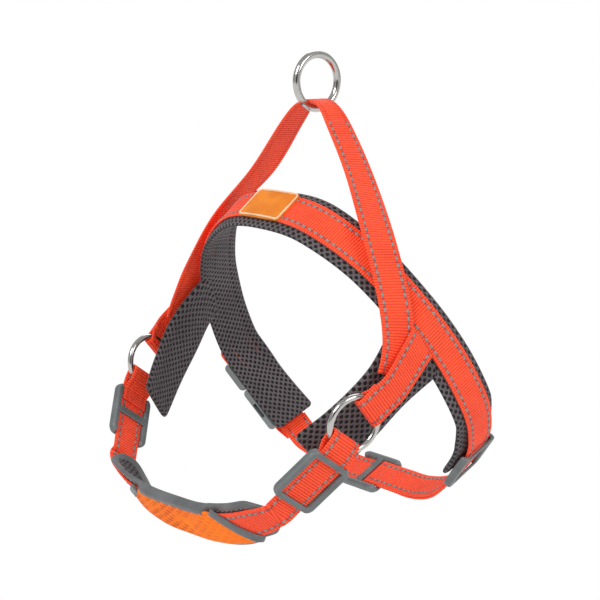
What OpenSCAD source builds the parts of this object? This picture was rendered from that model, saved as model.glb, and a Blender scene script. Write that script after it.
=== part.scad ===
// No pull harness for a large dog: Y-front body harness with a lead ring over the back,
// a padded saddle, two padded chest arms, steel side rings, an adjustable chest strap with
// a floating chest pad, and an adjustable belly strap with a side-release buckle.
// The dog faces -Y, its left side is +X, and the harness stands on the plane z = 0.

/* [Webbing] */
// Width of all the webbing
web_w = 25; // [24:0.5:26]
// Thickness of one layer of webbing
web_t = 1.6; // [1.4:0.1:1.8]

/* [Pads] */
// Width of the saddle pad
saddle_pad_w = 38; // [34:1:40]
// Thickness of the saddle pad and of the arm pads
pad_t = 5; // [4:0.5:6]
// Width of each arm pad
arm_pad_w = 40; // [36:1:44]
// Width of the chest pad over its mesh back
chest_pad_w = 34; // [32:1:36]
// Thickness of the chest pad's mesh back
chest_back_t = 3; // [2:0.5:4]

/* [Rings] */
// Wire diameter of the lead ring
lead_wire = 5.5; // [4.5:0.5:6]
// Inner diameter of the lead ring
lead_inner = 33; // [31:1:36]
// Wire diameter of the side rings
side_wire = 4.5; // [4:0.5:5]
// Inner diameter of the side rings
side_inner = 33; // [32:1:35]

/* [Hidden] */

$fn = 48;
gap = 0.3;              // clearance between neighbouring layers
curve_steps = 6;        // points between two control points of a spline
fold_steps = 8;         // segments round a fold of webbing

// The dog's middle plane is x = 0 in the points below; the model's own origin is the middle of
// its standing footprint, off that plane because the buckle stands out on the right flank
model_origin = [-6.6, -9.03, 0.326];

// Girth loop, left half from the top of the back to the middle of the belly
girth_points = [
    [0, -28, 234], [44, -25, 229], [85, -11, 205], [113, 7, 172], [129, 26, 138], [135, 43, 106],
    [131, 54, 86], [121.5, 62, 67], [94, 73, 39], [70, 80.5, 20.5], [44, 84.6, 12.2], [22, 85, 11.5],
    [0, 85, 11.5]
];
girth_across = [
    [0, 0.8, 0.6], [0.1, 0.8, 0.6], [0, 0.85, 0.5], [0, 0.9, 0.45], [0, 0.9, 0.45], [0, 0.9, 0.45],
    [0, 0.9, 0.45], [0, 0.9, 0.45], [0, 0.9, 0.45], [0, 0.9, 0.45], [0, 0.9, 0.45], [0, 0.9, 0.45],
    [0, 0.9, 0.45]
];

// Lead strap, left half from the ring down to the arm; it is pinched narrow inside the ring
lead_points = [
    [0, 16, 307.5], [13, 15.5, 303.5], [26, 14.5, 290], [55, 10, 254], [88, -3, 216],
    [112, -11, 178], [120.5, -16, 152], [123, -23, 131]
];
lead_across = [
    [0, 0.7, 0], [0, 0.75, 0], [0, 0.9, 0], [0, 1, 0], [0.1, 0.99, 0.1],
    [0.2, 0.98, 0], [0.1, 0.99, 0], [0.1, 0.99, 0]
];
lead_ring_z = 320.5;

// Left side ring and the two straps folded round it
ring_centre = [119, -53.5, 103.5];
chest_along = unit([-0.17, -0.58, -0.80]);
chest_across = [0.05, 0.8, -0.6];
chest_bend = 19.5;          // below its fold the chest strap turns inwards by this angle
chest_bend_from = 18;       // distances from the ring's centre to the start and end of the turn
chest_bend_to = 30;
arm_turn = -14.5;           // angle of the arm in the ring's plane, from the chest strap's line
fold_place = 13.1;          // distance from the ring's centre to the middle of each fold
arm_upper_lift = 6.5;       // the arm webbing's upper corner lies over the lead strap's end
arm_lower_lift = 3;
arm_start = [3.15, 3.72];   // where its upper and lower corners lie along the girth loop

// Left arm pad, from the saddle to its free tip
arm_pad_points = [[115, -21.5, 122], [104.6, -46, 96.5], [91.8, -66.5, 77]];
arm_pad_across = [[0.1, 0.6, -0.8], [0.15, 0.55, -0.8], [0.2, 0.5, -0.85]];

// Chest pad, from its left end to its right end
chest_points = [
    [88.5, -98.5, 41.8], [79, -102, 36.5], [58, -106, 28], [30, -107.5, 21.9], [0, -107, 19.4],
    [-30, -108, 19.4], [-58, -107, 23.4], [-79, -103, 32], [-89, -98.5, 40.5]
];
chest_pad_across = [
    [-0.18, 0.64, -0.75], [-0.1, 0.56, -0.82], [0, 0.5, -0.86], [0, 0.5, -0.86], [0, 0.5, -0.86],
    [0, 0.52, -0.86], [0.02, 0.6, -0.8], [0.05, 0.74, -0.67], [0.08, 0.86, -0.5]
];

// Slider, used in four places
slider_l = 41;
slider_w = 37;
slider_end_bar = 4;
slider_mid_bar = 6;
slider_r = 3;
slider_inner_z = -3;
slider_outer_z = 3.2;
slider_slot = web_w / 2 + 0.7;      // half width of the way through, also in the buckle
chest_slider_place = 48;            // from the ring's centre, along the chest strap
girth_slider_place = 7.5;           // along the girth loop
belly_slider_x = -14;

// Side-release buckle: local X along the strap towards the belly, zero at the socket's mouth,
// Y across the strap and Z outwards
buckle_w = 34;
buckle_t = 10;
buckle_r = 4;
buckle_bar = 3.4;           // both bars that webbing is folded round
plug_l = 26;
socket_l = 40;
cavity_l = 27;
cavity_w = 26;
cavity_t = 6;
prong_l = 24;
prong_w = 3;
prong_y = 9.5;              // middle of a prong's arm
prong_t = 4;
barb_l = 9;
guide_w = 4;                // the plug's tongue between the prongs
bar_slot_l = 5.5;
buckle_top_place = -5.75;   // where the buckle's two ends lie along the girth loop
buckle_low_place = -7.9;
buckle_lift = 8;

// ---- vectors, splines and frames -------------------------------------------------------

function unit(v) = v / norm(v);
function flip_x(v) = [-v[0], v[1], v[2]];
function reversed(list) = [for (i = [len(list) - 1:-1:0]) list[i]];
function last(list) = list[len(list) - 1];
function part_of(list, first, end) = [for (i = [first:end]) list[i]];

// Catmull-Rom point between p[i] and p[i + 1]
function curve_point(p, i, t) =
    let (a = i > 0 ? p[i - 1] : 2 * p[0] - p[1],
         b = p[i],
         c = p[i + 1],
         d = i + 2 < len(p) ? p[i + 2] : 2 * p[i + 1] - p[i])
    0.5 * (2 * b + (c - a) * t + (2 * a - 5 * b + 4 * c - d) * t * t
           + (3 * b - a - 3 * c + d) * t * t * t);

function curve(p) = concat(
    [for (i = [0:len(p) - 2]) for (k = [0:curve_steps - 1]) curve_point(p, i, k / curve_steps)],
    [last(p)]);

// A frame is [centre, across, out]: a point on the strap, its width direction, its outer normal.
// The length of across is kept: 1 is full width.
function frame(centre, along, across) =
    let (w = unit(across - (across * along) * along) * norm(across))
    [centre, w, unit(cross(along, w))];

function frames(points, across) =
    let (c = curve(points), w = curve(across), n = len(c) - 1)
    [for (i = [0:n]) frame(c[i], unit(c[min(i + 1, n)] - c[max(i - 1, 0)]), w[i])];

// Spline through whole frames
function smoothed(f) =
    let (c = curve([for (q = f) q[0]]), w = curve([for (q = f) q[1]]), n = curve([for (q = f) q[2]]))
    [for (i = [0:len(c) - 1]) [c[i], w[i], unit(n[i])]];

// Frame at a fractional place s along a list of frames
function frame_at(f, s) =
    let (i = min(max(floor(s), 0), len(f) - 2), t = s - i)
    [for (k = [0:2]) f[i][k] + (f[i + 1][k] - f[i][k]) * t];

// The same frame seen by a strap that runs the other way
function turned(f) = [f[0], -f[1], f[2]];
function place(f, across, out) = f[0] + f[1] * across + f[2] * out;
function shifted(f, along, out) = [f[0] + cross(f[1], f[2]) * along + f[2] * out, f[1], f[2]];

function flip_frame(f) = [flip_x(f[0]), flip_x(f[1]), flip_x(f[2])];

// The left half mirrored to the right, then the left half itself
function both_halves(list) =
    concat([for (p = reversed(list)) flip_x(p)], part_of(list, 1, len(list) - 1));

// Frames round a half-turn fold; f lies on the wire's line, the fold's nose points along +1 or -1
function fold(f, radius, nose) =
    let (along = cross(f[1], f[2]) * nose)
    [for (k = [0:fold_steps])
        let (a = 180 * k / fold_steps, out = f[2] * cos(a) + along * sin(a))
        [f[0] + out * radius, f[1], out]];

// Frames of the layer that comes back from a fold, pulled up against the outer layer
function folded_end(f, radius, nose, lengths) =
    let (under = radius - web_t - gap)
    [for (k = [[lengths[0], -radius], [lengths[1], under], [lengths[2], under]])
        let (q = shifted(f, -nose * k[0], k[1])) [q[0], q[1], -q[2]]];

// ---- solids ----------------------------------------------------------------------------

// Closed skin over rows of section points, every row the same length
module loft(rows) {
    m = len(rows[0]);
    n = len(rows);
    sides = [for (i = [0:n - 2]) for (j = [0:m - 1])
        let (a = i * m + j, b = i * m + (j + 1) % m)
        for (side = [[a, b, b + m], [a, b + m, a + m]]) side];
    // Each cap is a strip of triangles between the two halves of its row
    strip = [for (j = [0:m / 2 - 2]) for (t = [[j, j + 1, m - 2 - j], [j, m - 2 - j, m - 1 - j]]) t];
    start_cap = [for (t = strip) [t[2], t[1], t[0]]];
    end_cap = [for (t = strip) [for (k = t) (n - 1) * m + k]];
    polyhedron([for (r = rows) for (p = r) p], concat(start_cap, sides, end_cap), convexity = 8);
}

// Flat strap of rectangular section, its middle layer lifted outwards
module strap(f, w = web_w, t = web_t, lift = 0) {
    loft([for (q = f) [place(q, -w / 2, lift - t / 2), place(q, -w / 2, lift + t / 2),
                       place(q, w / 2, lift + t / 2), place(q, w / 2, lift - t / 2)]]);
}

// Pad with softened long edges
module cushion(f, w, t, lift = 0) {
    h = t / 2;
    e = h * 0.8;
    section = [[-w / 2, -h + e], [-w / 2, h - e], [-w / 2 + e, h], [w / 2 - e, h],
               [w / 2, h - e], [w / 2, -h + e], [w / 2 - e, -h], [-w / 2 + e, -h]];
    loft([for (q = f) [for (p = section) place(q, p[0], lift + p[1])]]);
}

// Puts local X along the strap, Y across it and Z outwards
module on_frame(f) {
    w = unit(f[1]);
    along = cross(w, f[2]);
    multmatrix([[along[0], w[0], f[2][0], f[0][0]],
                [along[1], w[1], f[2][1], f[0][1]],
                [along[2], w[2], f[2][2], f[0][2]],
                [0, 0, 0, 1]])
        children();
}

module ring(inner, wire) {
    rotate_extrude() translate([(inner + wire) / 2, 0]) circle(d = wire, $fn = 24);
}

module rounded_rect(l, w, r) {
    square([l - 2 * r, w], center = true);
    square([l, w - 2 * r], center = true);
    for (x = [-1, 1]) for (y = [-1, 1])
        translate([x * (l / 2 - r), y * (w / 2 - r)]) circle(r = r);
}

module box(x0, x1, y0, y1, z0, z1) {
    translate([x0, y0, z0]) cube([x1 - x0, y1 - y0, z1 - z0]);
}

// ---- lines that the straps follow -------------------------------------------------------

girth = frames(both_halves(girth_points), both_halves([for (w = girth_across) unit(w)]));
girth_middle = (len(girth_points) - 1) * curve_steps;
girth_half = len(girth_points) - 1;
// The loop closes at the middle of the belly, where s is plus or minus girth_half
function girth_place(s) =
    frame_at(girth, girth_middle + (s > girth_half ? s - 2 * girth_half : s) * curve_steps);
function girth_part(first, end) =
    [for (i = [0:round((end - first) * curve_steps)]) girth_place(first + i / curve_steps)];

ring_frame = frame(ring_centre, chest_along, unit(chest_across));
fold_radius = side_wire / 2 + gap + web_t / 2;
arm_along = chest_along * cos(arm_turn) + ring_frame[1] * sin(arm_turn);
arm_frame = frame(ring_centre, arm_along, ring_frame[1]);

// Chest strap from the left ring to the right one; the pad's middle is chest_place(0)
chest_bend_r = (chest_bend_to - chest_bend_from) / (chest_bend * PI / 180);
function chest_line(s) =
    let (f = shifted(ring_frame, chest_bend_from, fold_radius),
         past = (s - chest_bend_from) / (chest_bend_to - chest_bend_from),
         a = chest_bend * min(max(past, 0), 1),
         straight = min(s - chest_bend_from, 0) + max(s - chest_bend_to, 0),
         along = chest_along * cos(a) - f[2] * sin(a))
    [f[0] + chest_along * chest_bend_r * sin(a) - f[2] * chest_bend_r * (1 - cos(a)) + along * straight,
     f[1], f[2] * cos(a) + chest_along * sin(a)];
chest_lead = [for (s = [72, 80]) chest_line(s)[0]];
chest_lead_across = [for (s = [72, 80]) chest_line(s)[1]];
chest = frames(
    concat(chest_lead, chest_points, [for (p = reversed(chest_lead)) flip_x(p)]),
    concat(chest_lead_across, [for (w = chest_pad_across) unit(w)],
           [for (w = reversed(chest_lead_across)) flip_x(w)]));
chest_middle = (len(chest) - 1) / 2;
function chest_place(s) = frame_at(chest, chest_middle + s * curve_steps);
chest_end = (len(chest_points) - 1) / 2;

buckle_top = place(girth_place(buckle_top_place), 0, buckle_lift);
buckle_low = place(girth_place(buckle_low_place), 0, buckle_lift);
buckle_along = unit(buckle_low - buckle_top);
// The girth loop runs from right to left, so the buckle looks back along it
buckle_frame = frame(buckle_top + buckle_along * plug_l, buckle_along,
                     -girth_place((buckle_top_place + buckle_low_place) / 2)[1]);

plug_bar_x = -plug_l + buckle_bar / 2 + 1;
socket_bar_x = socket_l - buckle_bar / 2 - 1;

// ---- metal and plastic ------------------------------------------------------------------

module lead_ring() {
    color("silver") translate([0, lead_points[0][1], lead_ring_z])
        rotate([0, 90, 0]) ring(lead_inner, lead_wire);
}

module side_ring() {
    color("silver") on_frame(ring_frame) ring(side_inner, side_wire);
}

// Three-bar slider: the strap runs inside the end bars and outside the middle bar
module slider() {
    hole_l = slider_l - 2 * slider_end_bar;
    slot = slider_slot;
    strap_face = web_t / 2 + gap;
    color("dimgray") {
        difference() {
            translate([0, 0, slider_inner_z]) linear_extrude(slider_outer_z - slider_inner_z)
                rounded_rect(slider_l, slider_w, slider_r);
            box(-hole_l / 2, hole_l / 2, -slot, slot, slider_inner_z - 1, slider_outer_z + 1);
            box(-slider_l, slider_l, -slot, slot, slider_inner_z - 1, strap_face);
        }
        box(-slider_mid_bar / 2, slider_mid_bar / 2, -slot - 1, slot + 1, slider_inner_z, -strap_face);
    }
}

module chest_slider() {
    on_frame(chest_line(chest_slider_place)) slider();
}

module girth_slider() {
    on_frame(girth_place(girth_slider_place)) slider();
}

module belly_slider() {
    q = girth_place(len(girth_points) - 1);
    on_frame([[belly_slider_x, q[0][1], q[0][2]], q[1], q[2]]) slider();
}

// The slot between a buckle half and the bar that the webbing is folded round
module buckle_bar_slot(x, side) {
    from = side > 0 ? x - buckle_bar / 2 - bar_slot_l : x + buckle_bar / 2;
    box(from, from + bar_slot_l, -slider_slot, slider_slot, -buckle_t, buckle_t);
}

// Thins the end of a buckle half down to its bar
module buckle_bar_relief(x, side) {
    from = (side > 0 ? x - buckle_bar / 2 : x - buckle_bar) - 1;
    to = from + buckle_bar * 1.5 + 2;
    box(from, to, -slider_slot, slider_slot, buckle_bar / 2, buckle_t);
    box(from, to, -slider_slot, slider_slot, -buckle_t, -buckle_bar / 2);
}

module buckle_plug() {
    prong_room = prong_w / 2 + 0.7;
    color("dimgray") on_frame(buckle_frame) {
        difference() {
            translate([-plug_l / 2 - gap / 2, 0, -buckle_t / 2]) linear_extrude(buckle_t)
                rounded_rect(plug_l - gap, buckle_w, buckle_r);
            buckle_bar_slot(plug_bar_x, -1);
            buckle_bar_relief(plug_bar_x, -1);
            for (y = [-prong_y, prong_y])
                box(-prong_w - 0.5, 1, y - prong_room, y + prong_room, -buckle_t, buckle_t);
        }
        box(-gap - 1, prong_l - 2, -guide_w / 2, guide_w / 2, -prong_t / 2, prong_t / 2);
    }
}

// One sprung prong with its barb at the tip
module prong_shape() {
    linear_extrude(prong_t, center = true) {
        translate([-prong_w / 2, prong_y]) circle(d = prong_w);
        translate([-prong_w / 2, prong_y - prong_w / 2]) square([prong_l + prong_w / 2, prong_w]);
        polygon([[prong_l - barb_l, prong_y], [prong_l, prong_y],
                 [prong_l, prong_y + prong_w / 2 + 0.6], [prong_l - barb_l, cavity_w / 2 - gap]]);
    }
}

module buckle_prong_front() {
    color("gray") on_frame(buckle_frame) prong_shape();
}

module buckle_prong_rear() {
    color("gray") on_frame(buckle_frame) mirror([0, 1, 0]) prong_shape();
}

module buckle_socket() {
    color("dimgray") on_frame(buckle_frame) difference() {
        translate([socket_l / 2 + gap / 2, 0, -buckle_t / 2]) linear_extrude(buckle_t)
            rounded_rect(socket_l - gap, buckle_w, buckle_r);
        box(-1, cavity_l, -cavity_w / 2, cavity_w / 2, -cavity_t / 2, cavity_t / 2);
        box(prong_l - barb_l - 1, cavity_l, -buckle_w, buckle_w, -cavity_t / 2, cavity_t / 2);
        buckle_bar_slot(socket_bar_x, 1);
        buckle_bar_relief(socket_bar_x, 1);
    }
}

// ---- webbing ----------------------------------------------------------------------------

module lead_strap() {
    color("orangered") strap(frames(both_halves(lead_points), both_halves(lead_across)));
}

// Clears the bar's corners
bar_fold_radius = buckle_bar / 2 * sqrt(2) + gap + web_t / 2;
slider_pass = girth_slider_place + 0.2;     // where the saddle webbing ends, past the middle bar
plug_bar = shifted(buckle_frame, plug_bar_x, 0);
socket_bar = shifted(buckle_frame, socket_bar_x, 0);

// From the buckle plug's bar over the back and through the girth slider, past its middle bar
module saddle_webbing() {
    r = bar_fold_radius;
    bar = turned(plug_bar);
    tail = folded_end(bar, r, -1, [3.5, 7, 11]);
    drop_points = [shifted(bar, 0, r)[0], shifted(bar, 11, r)[0], place(girth_place(-5.15), 0, 6.5),
                   place(girth_place(-4.8), 0, 1.8), girth_place(-4.5)[0], girth_place(-4.2)[0]];
    drop = frames(drop_points, [for (i = [0:5]) i < 2 ? bar[1] : girth_place(-5)[1]]);
    color("tomato") strap(concat(reversed(tail), reversed(fold(bar, r, -1)),
                                 part_of(drop, 1, len(drop) - 2), girth_part(-4.2, slider_pass)));
}

// Outer layer of the belly strap, from the girth slider to the buckle socket's tab
module belly_strap() {
    end_lift = -buckle_t / 2 - 1.3;
    end_frames = [for (x = [22, 12, 3]) turned(shifted(buckle_frame, socket_l + x, end_lift))];
    color("tomato") strap(concat(girth_part(slider_pass + 0.02, 14.7), end_frames));
}

// Inner layer, folded back from the girth slider to the belly slider's middle bar
module belly_strap_return() {
    color("tomato") strap(girth_part(girth_slider_place + 0.13, 12.38), lift = -web_t - gap);
}

module arm_webbing() {
    upper = place(girth_place(arm_start[0]), -web_w / 2 - 0.5, arm_upper_lift);
    lower = place(girth_place(arm_start[1]), -web_w / 2 - 0.5, arm_lower_lift);
    start = [(upper + lower) / 2, (lower - upper) / web_w, girth_place(3.4)[2]];
    run = concat([start], [for (s = [38, 26, fold_place]) shifted(arm_frame, -s, fold_radius)]);
    wire = shifted(arm_frame, -fold_place, 0);
    color("tomato") strap(concat(smoothed(run),
                                 part_of(fold(wire, fold_radius, 1), 1, fold_steps),
                                 folded_end(wire, fold_radius, 1, [8, 14, 19])));
}

module chest_strap() {
    wire = shifted(ring_frame, fold_place, 0);
    under = [[39, -web_t - gap], [29, -web_t - gap], [21, -2 * fold_radius]];
    tail = [for (q = under) let (f = shifted(chest_line(q[0]), 0, q[1])) [f[0], f[1], -f[2]]];
    left = concat(tail, reversed(fold(wire, fold_radius, -1)),
                  [for (s = [chest_bend_from:2:chest_bend_to]) chest_line(s)], [chest_line(50)]);
    color("tomato") strap(concat(left, chest, [for (q = reversed(left)) flip_frame(q)]));
}

module buckle_socket_tab() {
    r = bar_fold_radius;
    bar = turned(socket_bar);
    outer = [for (q = [[-16, -2.4], [-5, r]]) shifted(bar, q[0], q[1])];
    inner = [for (q = [[-5, -r], [-16, -4.3]]) let (f = shifted(bar, q[0], q[1])) [f[0], f[1], -f[2]]];
    color("tomato") strap(concat(outer, fold(bar, r, 1), inner));
}

// ---- pads and trim ----------------------------------------------------------------------

pad_clear = 0.45;                   // between the pads and the webbing, which twist together
pad_face = web_t / 2 + pad_clear;   // outer face of the pads, below the middle of the webbing
saddle_pad_end = 7.7;
saddle_drop = 2.8;                  // how far the pad's ends step in behind the slider and buckle
function saddle_step(s) = saddle_drop * min(max((abs(s) - 5.4) / 1.1, 0), 1);

module saddle_pad() {
    n = round(2 * saddle_pad_end * curve_steps);
    f = [for (i = [0:n])
        let (s = -saddle_pad_end + i / curve_steps) shifted(girth_place(s), 0, -saddle_step(s))];
    color("darkslategray") cushion(f, saddle_pad_w, pad_t, -pad_face - pad_t / 2);
}

module arm_pad() {
    edge = -saddle_pad_w / 2 - 0.5;
    lift = -pad_face - pad_t / 2;
    upper = place(girth_place(2.95), edge, lift);
    lower = place(girth_place(4.1), edge, lift);
    start = [(upper + lower) / 2, (lower - upper) / arm_pad_w, girth_place(3.5)[2]];
    points = concat([start[0]], arm_pad_points);
    run = [for (i = [1:len(points) - 1])
        frame(points[i], unit(points[max(i, 2)] - points[max(i, 2) - (i < 3 ? 2 : 1)]),
              unit(arm_pad_across[i - 1]))];
    color("darkslategray") cushion(smoothed(concat([start], run)), arm_pad_w, pad_t);
}

module label_border() {
    color("peachpuff") strap(girth_part(-0.5, 0.5), web_w + 2, 1, web_t / 2 + 0.2 + 0.5);
}

module label_patch() {
    color("orange") strap(girth_part(-0.42, 0.42), web_w - 2, 1, web_t / 2 + 0.4 + 1.5);
}

// Chest pad: a mesh back inside the strap, an outer panel over it and tape round the edges
chest_back_out = -web_t / 2 - 0.6;
panel_t = 1.6;
panel_lift = web_t / 2 + gap + panel_t / 2;
binding_w = 2;
binding_t = 7;
binding_lift = (chest_back_out - chest_back_t + panel_lift + panel_t / 2) / 2;
panel_top = 1.5;        // half lengths of the panel's edges along the chest line
panel_bottom = 2.7;
trim_l = 0.14;          // half width of the tape at each opening, along the chest line
chest_n = chest_end * curve_steps;
chest_pad_frames = [for (i = [-chest_n:chest_n]) chest_place(i / curve_steps)];

module chest_pad_back() {
    color("darkslategray")
        cushion(chest_pad_frames, chest_pad_w, chest_back_t, chest_back_out - chest_back_t / 2);
}

// Half length of the panel's line at a place across it, from the top edge to the bottom edge
function panel_half(across) = panel_top + (panel_bottom - panel_top) * (across / chest_pad_w + 0.5);
panel_lines = [for (i = [0:5]) chest_pad_w * (i / 5 - 0.5)];

module chest_panel() {
    n = 30;             // rows along the panel
    function spot(k, across, out) = place(chest_place(k * (panel_half(across) - trim_l)), across, out);
    color("orange") loft([for (i = [0:n]) let (k = 2 * i / n - 1) concat(
        [for (a = reversed(panel_lines)) spot(k, a, panel_lift - panel_t / 2)],
        [for (a = panel_lines) spot(k, a, panel_lift + panel_t / 2)])]);
}

module chest_opening_trim(side) {
    n = 8;              // rows across the pad
    rows = [for (i = [0:n])
        let (s = panel_top + (panel_bottom - panel_top) * i / n, across = chest_pad_w * (i / n - 0.5),
             a = chest_place(side * (s - trim_l + 0.03)), b = chest_place(side * (s + trim_l)))
        [place(a, across, panel_lift - panel_t / 2), place(a, across, panel_lift + panel_t / 2 + 0.4),
         place(b, across, panel_lift + panel_t / 2 + 0.4), place(b, across, panel_lift - panel_t / 2)]];
    color("gray") loft(side > 0 ? reversed(rows) : rows);
}

module chest_binding(side) {
    edge = side * (chest_pad_w / 2 + 0.2 + binding_w / 2);
    color("gray") strap([for (q = chest_pad_frames) [place(q, edge, 0), q[1], q[2]]],
                        binding_w, binding_t, binding_lift);
}

// ---- nodes ------------------------------------------------------------------------------

module to_origin() {
    translate(-model_origin) children();
}

to_origin() lead_ring();
to_origin() lead_strap();
to_origin() saddle_pad();
to_origin() saddle_webbing();
to_origin() label_border();
to_origin() label_patch();
to_origin() arm_pad();  // arm_pad_left
to_origin() mirror([1, 0, 0]) arm_pad();  // arm_pad_right
to_origin() arm_webbing();  // arm_webbing_left
to_origin() mirror([1, 0, 0]) arm_webbing();  // arm_webbing_right
to_origin() side_ring();  // side_ring_left
to_origin() mirror([1, 0, 0]) side_ring();  // side_ring_right
to_origin() chest_strap();
to_origin() chest_slider();  // chest_slider_left
to_origin() mirror([1, 0, 0]) chest_slider();  // chest_slider_right
to_origin() chest_pad_back();
to_origin() chest_panel();
to_origin() chest_binding(-1);  // chest_binding_top
to_origin() chest_binding(1);  // chest_binding_bottom
to_origin() chest_opening_trim(-1);  // chest_opening_trim_left
to_origin() chest_opening_trim(1);  // chest_opening_trim_right
to_origin() girth_slider();
to_origin() belly_strap();
to_origin() belly_strap_return();
to_origin() belly_slider();
to_origin() buckle_plug();
to_origin() buckle_prong_front();
to_origin() buckle_prong_rear();
to_origin() buckle_socket();
to_origin() buckle_socket_tab();
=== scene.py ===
"""A no pull dog harness: webbing, air mesh pads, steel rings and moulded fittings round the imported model.

Points are in millimetres in the dog's own frame: it faces -Y, its left side is +X and x = 0 is its
middle plane. to_model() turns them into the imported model's metres.
"""

import math

import bmesh
import bpy
import numpy as np
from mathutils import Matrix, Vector


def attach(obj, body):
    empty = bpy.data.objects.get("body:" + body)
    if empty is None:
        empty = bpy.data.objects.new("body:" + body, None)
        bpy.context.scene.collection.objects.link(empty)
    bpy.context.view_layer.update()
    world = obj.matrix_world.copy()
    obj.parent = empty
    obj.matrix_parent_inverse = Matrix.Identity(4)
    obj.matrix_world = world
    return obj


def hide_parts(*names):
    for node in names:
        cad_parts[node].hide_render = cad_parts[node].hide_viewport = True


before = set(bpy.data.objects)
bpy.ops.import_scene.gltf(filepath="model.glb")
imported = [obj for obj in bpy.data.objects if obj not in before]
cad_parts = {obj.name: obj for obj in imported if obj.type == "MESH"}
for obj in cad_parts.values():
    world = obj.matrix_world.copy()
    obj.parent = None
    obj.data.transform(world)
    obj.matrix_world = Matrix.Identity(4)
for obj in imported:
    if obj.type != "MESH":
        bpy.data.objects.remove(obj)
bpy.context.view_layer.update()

# ---- sizes, in millimetres -----------------------------------------------------------------

MODEL_ORIGIN = np.array([-6.6, -9.03, 0.326])
GAP = 0.3
WEB_W = 25.0
WEB_T = 1.6
STEPS = 24              # spline points between two control points
FOLD_STEPS = 20
ROW_PLACE = 8.7         # reflective threads, from the middle of the webbing
SPACING = 1.2           # between the rows of points along a strap
THREAD_PITCH = 5.4      # of the reflective threads' floats

GIRTH_POINTS = [
    [0, -28, 234], [44, -25, 229], [85, -11, 205], [113, 7, 172], [129, 26, 138], [135, 43, 106],
    [131, 54, 86], [121.5, 62, 67], [94, 73, 39], [70, 80.5, 20.5], [44, 84.6, 12.2],
    [22, 85, 11.5], [0, 85, 11.5],
]
GIRTH_ACROSS = [[0, 0.8, 0.6], [0.1, 0.8, 0.6], [0, 0.85, 0.5]] + [[0, 0.9, 0.45]] * 10
GIRTH_HALF = len(GIRTH_POINTS) - 1
LEAD_POINTS = [
    [0, 16, 307.5], [13, 15.5, 303.5], [26, 14.5, 290], [55, 10, 254], [88, -3, 216],
    [112, -11, 178], [120.5, -16, 152], [123, -23, 131],
]
LEAD_ACROSS = [
    [0, 0.7, 0], [0, 0.75, 0], [0, 0.9, 0], [0, 1, 0], [0.1, 0.99, 0.1],
    [0.2, 0.98, 0], [0.1, 0.99, 0], [0.1, 0.99, 0],
]
ARM_PAD_POINTS = [[115, -21.5, 122], [104.6, -46, 96.5], [91.8, -66.5, 77]]
ARM_PAD_ACROSS = [[0.1, 0.6, -0.8], [0.15, 0.55, -0.8], [0.2, 0.5, -0.85]]
CHEST_POINTS = [
    [88.5, -98.5, 41.8], [79, -102, 36.5], [58, -106, 28], [30, -107.5, 21.9], [0, -107, 19.4],
    [-30, -108, 19.4], [-58, -107, 23.4], [-79, -103, 32], [-89, -98.5, 40.5],
]
CHEST_PAD_ACROSS = [
    [-0.18, 0.64, -0.75], [-0.1, 0.56, -0.82], [0, 0.5, -0.86], [0, 0.5, -0.86], [0, 0.5, -0.86],
    [0, 0.52, -0.86], [0.02, 0.6, -0.8], [0.05, 0.74, -0.67], [0.08, 0.86, -0.5],
]
CHEST_END = (len(CHEST_POINTS) - 1) / 2

LEAD_RING = (np.array([0, 16, 320.5]), 33.0, 5.5)
SIDE_RING_WIRE = 4.5
SIDE_RING_INNER = 33.0
RING_CENTRE = np.array([119, -53.5, 103.5])
ARM_TURN = math.radians(-14.5)
FOLD_PLACE = 13.1

SADDLE_PAD_W = 38.0
SADDLE_PAD_LEFT = 7.7               # its ends, along the girth loop
SADDLE_PAD_RIGHT = 8.0
ARM_PAD_W = 40.0
CHEST_PAD_W = 34.0
ARM_PAD_TUCK = 8.0                  # how far each arm pad runs in under the saddle pad
PAD_T = 5.0
PAD_FACE = WEB_T / 2 + 0.45
CHEST_BACK_T = 3.0
PANEL_T = 1.6
CHEST_BACK_OUT = -WEB_T / 2 - 0.6   # outer face of the chest pad's back
PANEL_LIFT = WEB_T / 2 + GAP + PANEL_T / 2
PANEL_TOP = 1.5                     # half lengths of the panel's edges, along the chest line
PANEL_BOTTOM = 2.7
PANEL_INSET = 1.5                   # of the panel's top edge from the pad's
CHEST_END_REACH = 17.0              # of the rounded ends of the chest pad
TRIM_HALF = 0.14

SLIDER_L = 41.0
SLIDER_W = 37.0
SLIDER_END_BAR = 4.0
SLIDER_MID_BAR = 6.0
SLIDER_INNER_Z = -3.0
SLIDER_OUTER_Z = 3.2
CHEST_SLIDER_PLACE = 48.0
CHEST_BEND = math.radians(19.5)     # below its fold the chest strap turns inwards
CHEST_BEND_FROM = 18.0
CHEST_BEND_TO = 30.0
GIRTH_SLIDER_PLACE = 7.5
BELLY_SLIDER_X = -14.0
SLIDER_PASS = GIRTH_SLIDER_PLACE + 0.2

BUCKLE_T = 10.0
BUCKLE_BAR = 3.4
PLUG_L = 26.0
SOCKET_L = 40.0
BUCKLE_TOP_PLACE = -5.75
BUCKLE_LOW_PLACE = -7.9
BUCKLE_LIFT = 8.0

LABEL_L = 44.0
LABEL_W = 27.0
GIRTH_STEP_AT_TOP = 44.2            # mm along the girth loop to one step, at the top of the back
REFLECTIVE_FLOAT = (3.3, 2.0, 0.8)  # a stitch's length, width and height
SEAM_STITCH = (2.6, 0.5, 0.4)
TAPE_STITCH = (2.6, 0.55, 0.5)

MM = 0.001
SAME_PLACE = 1e-6                   # frames of a line closer than this count as one
CAMERA_AZIMUTH = math.radians(50.0)
CAMERA_ELEVATION = math.radians(10.8)
CAMERA_DISTANCE = 1.092             # m
CAMERA_LENS = 89.5
CAMERA_SENSOR = 36.0
CAMERA_AIM = [0, 0, 162.5]


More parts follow.
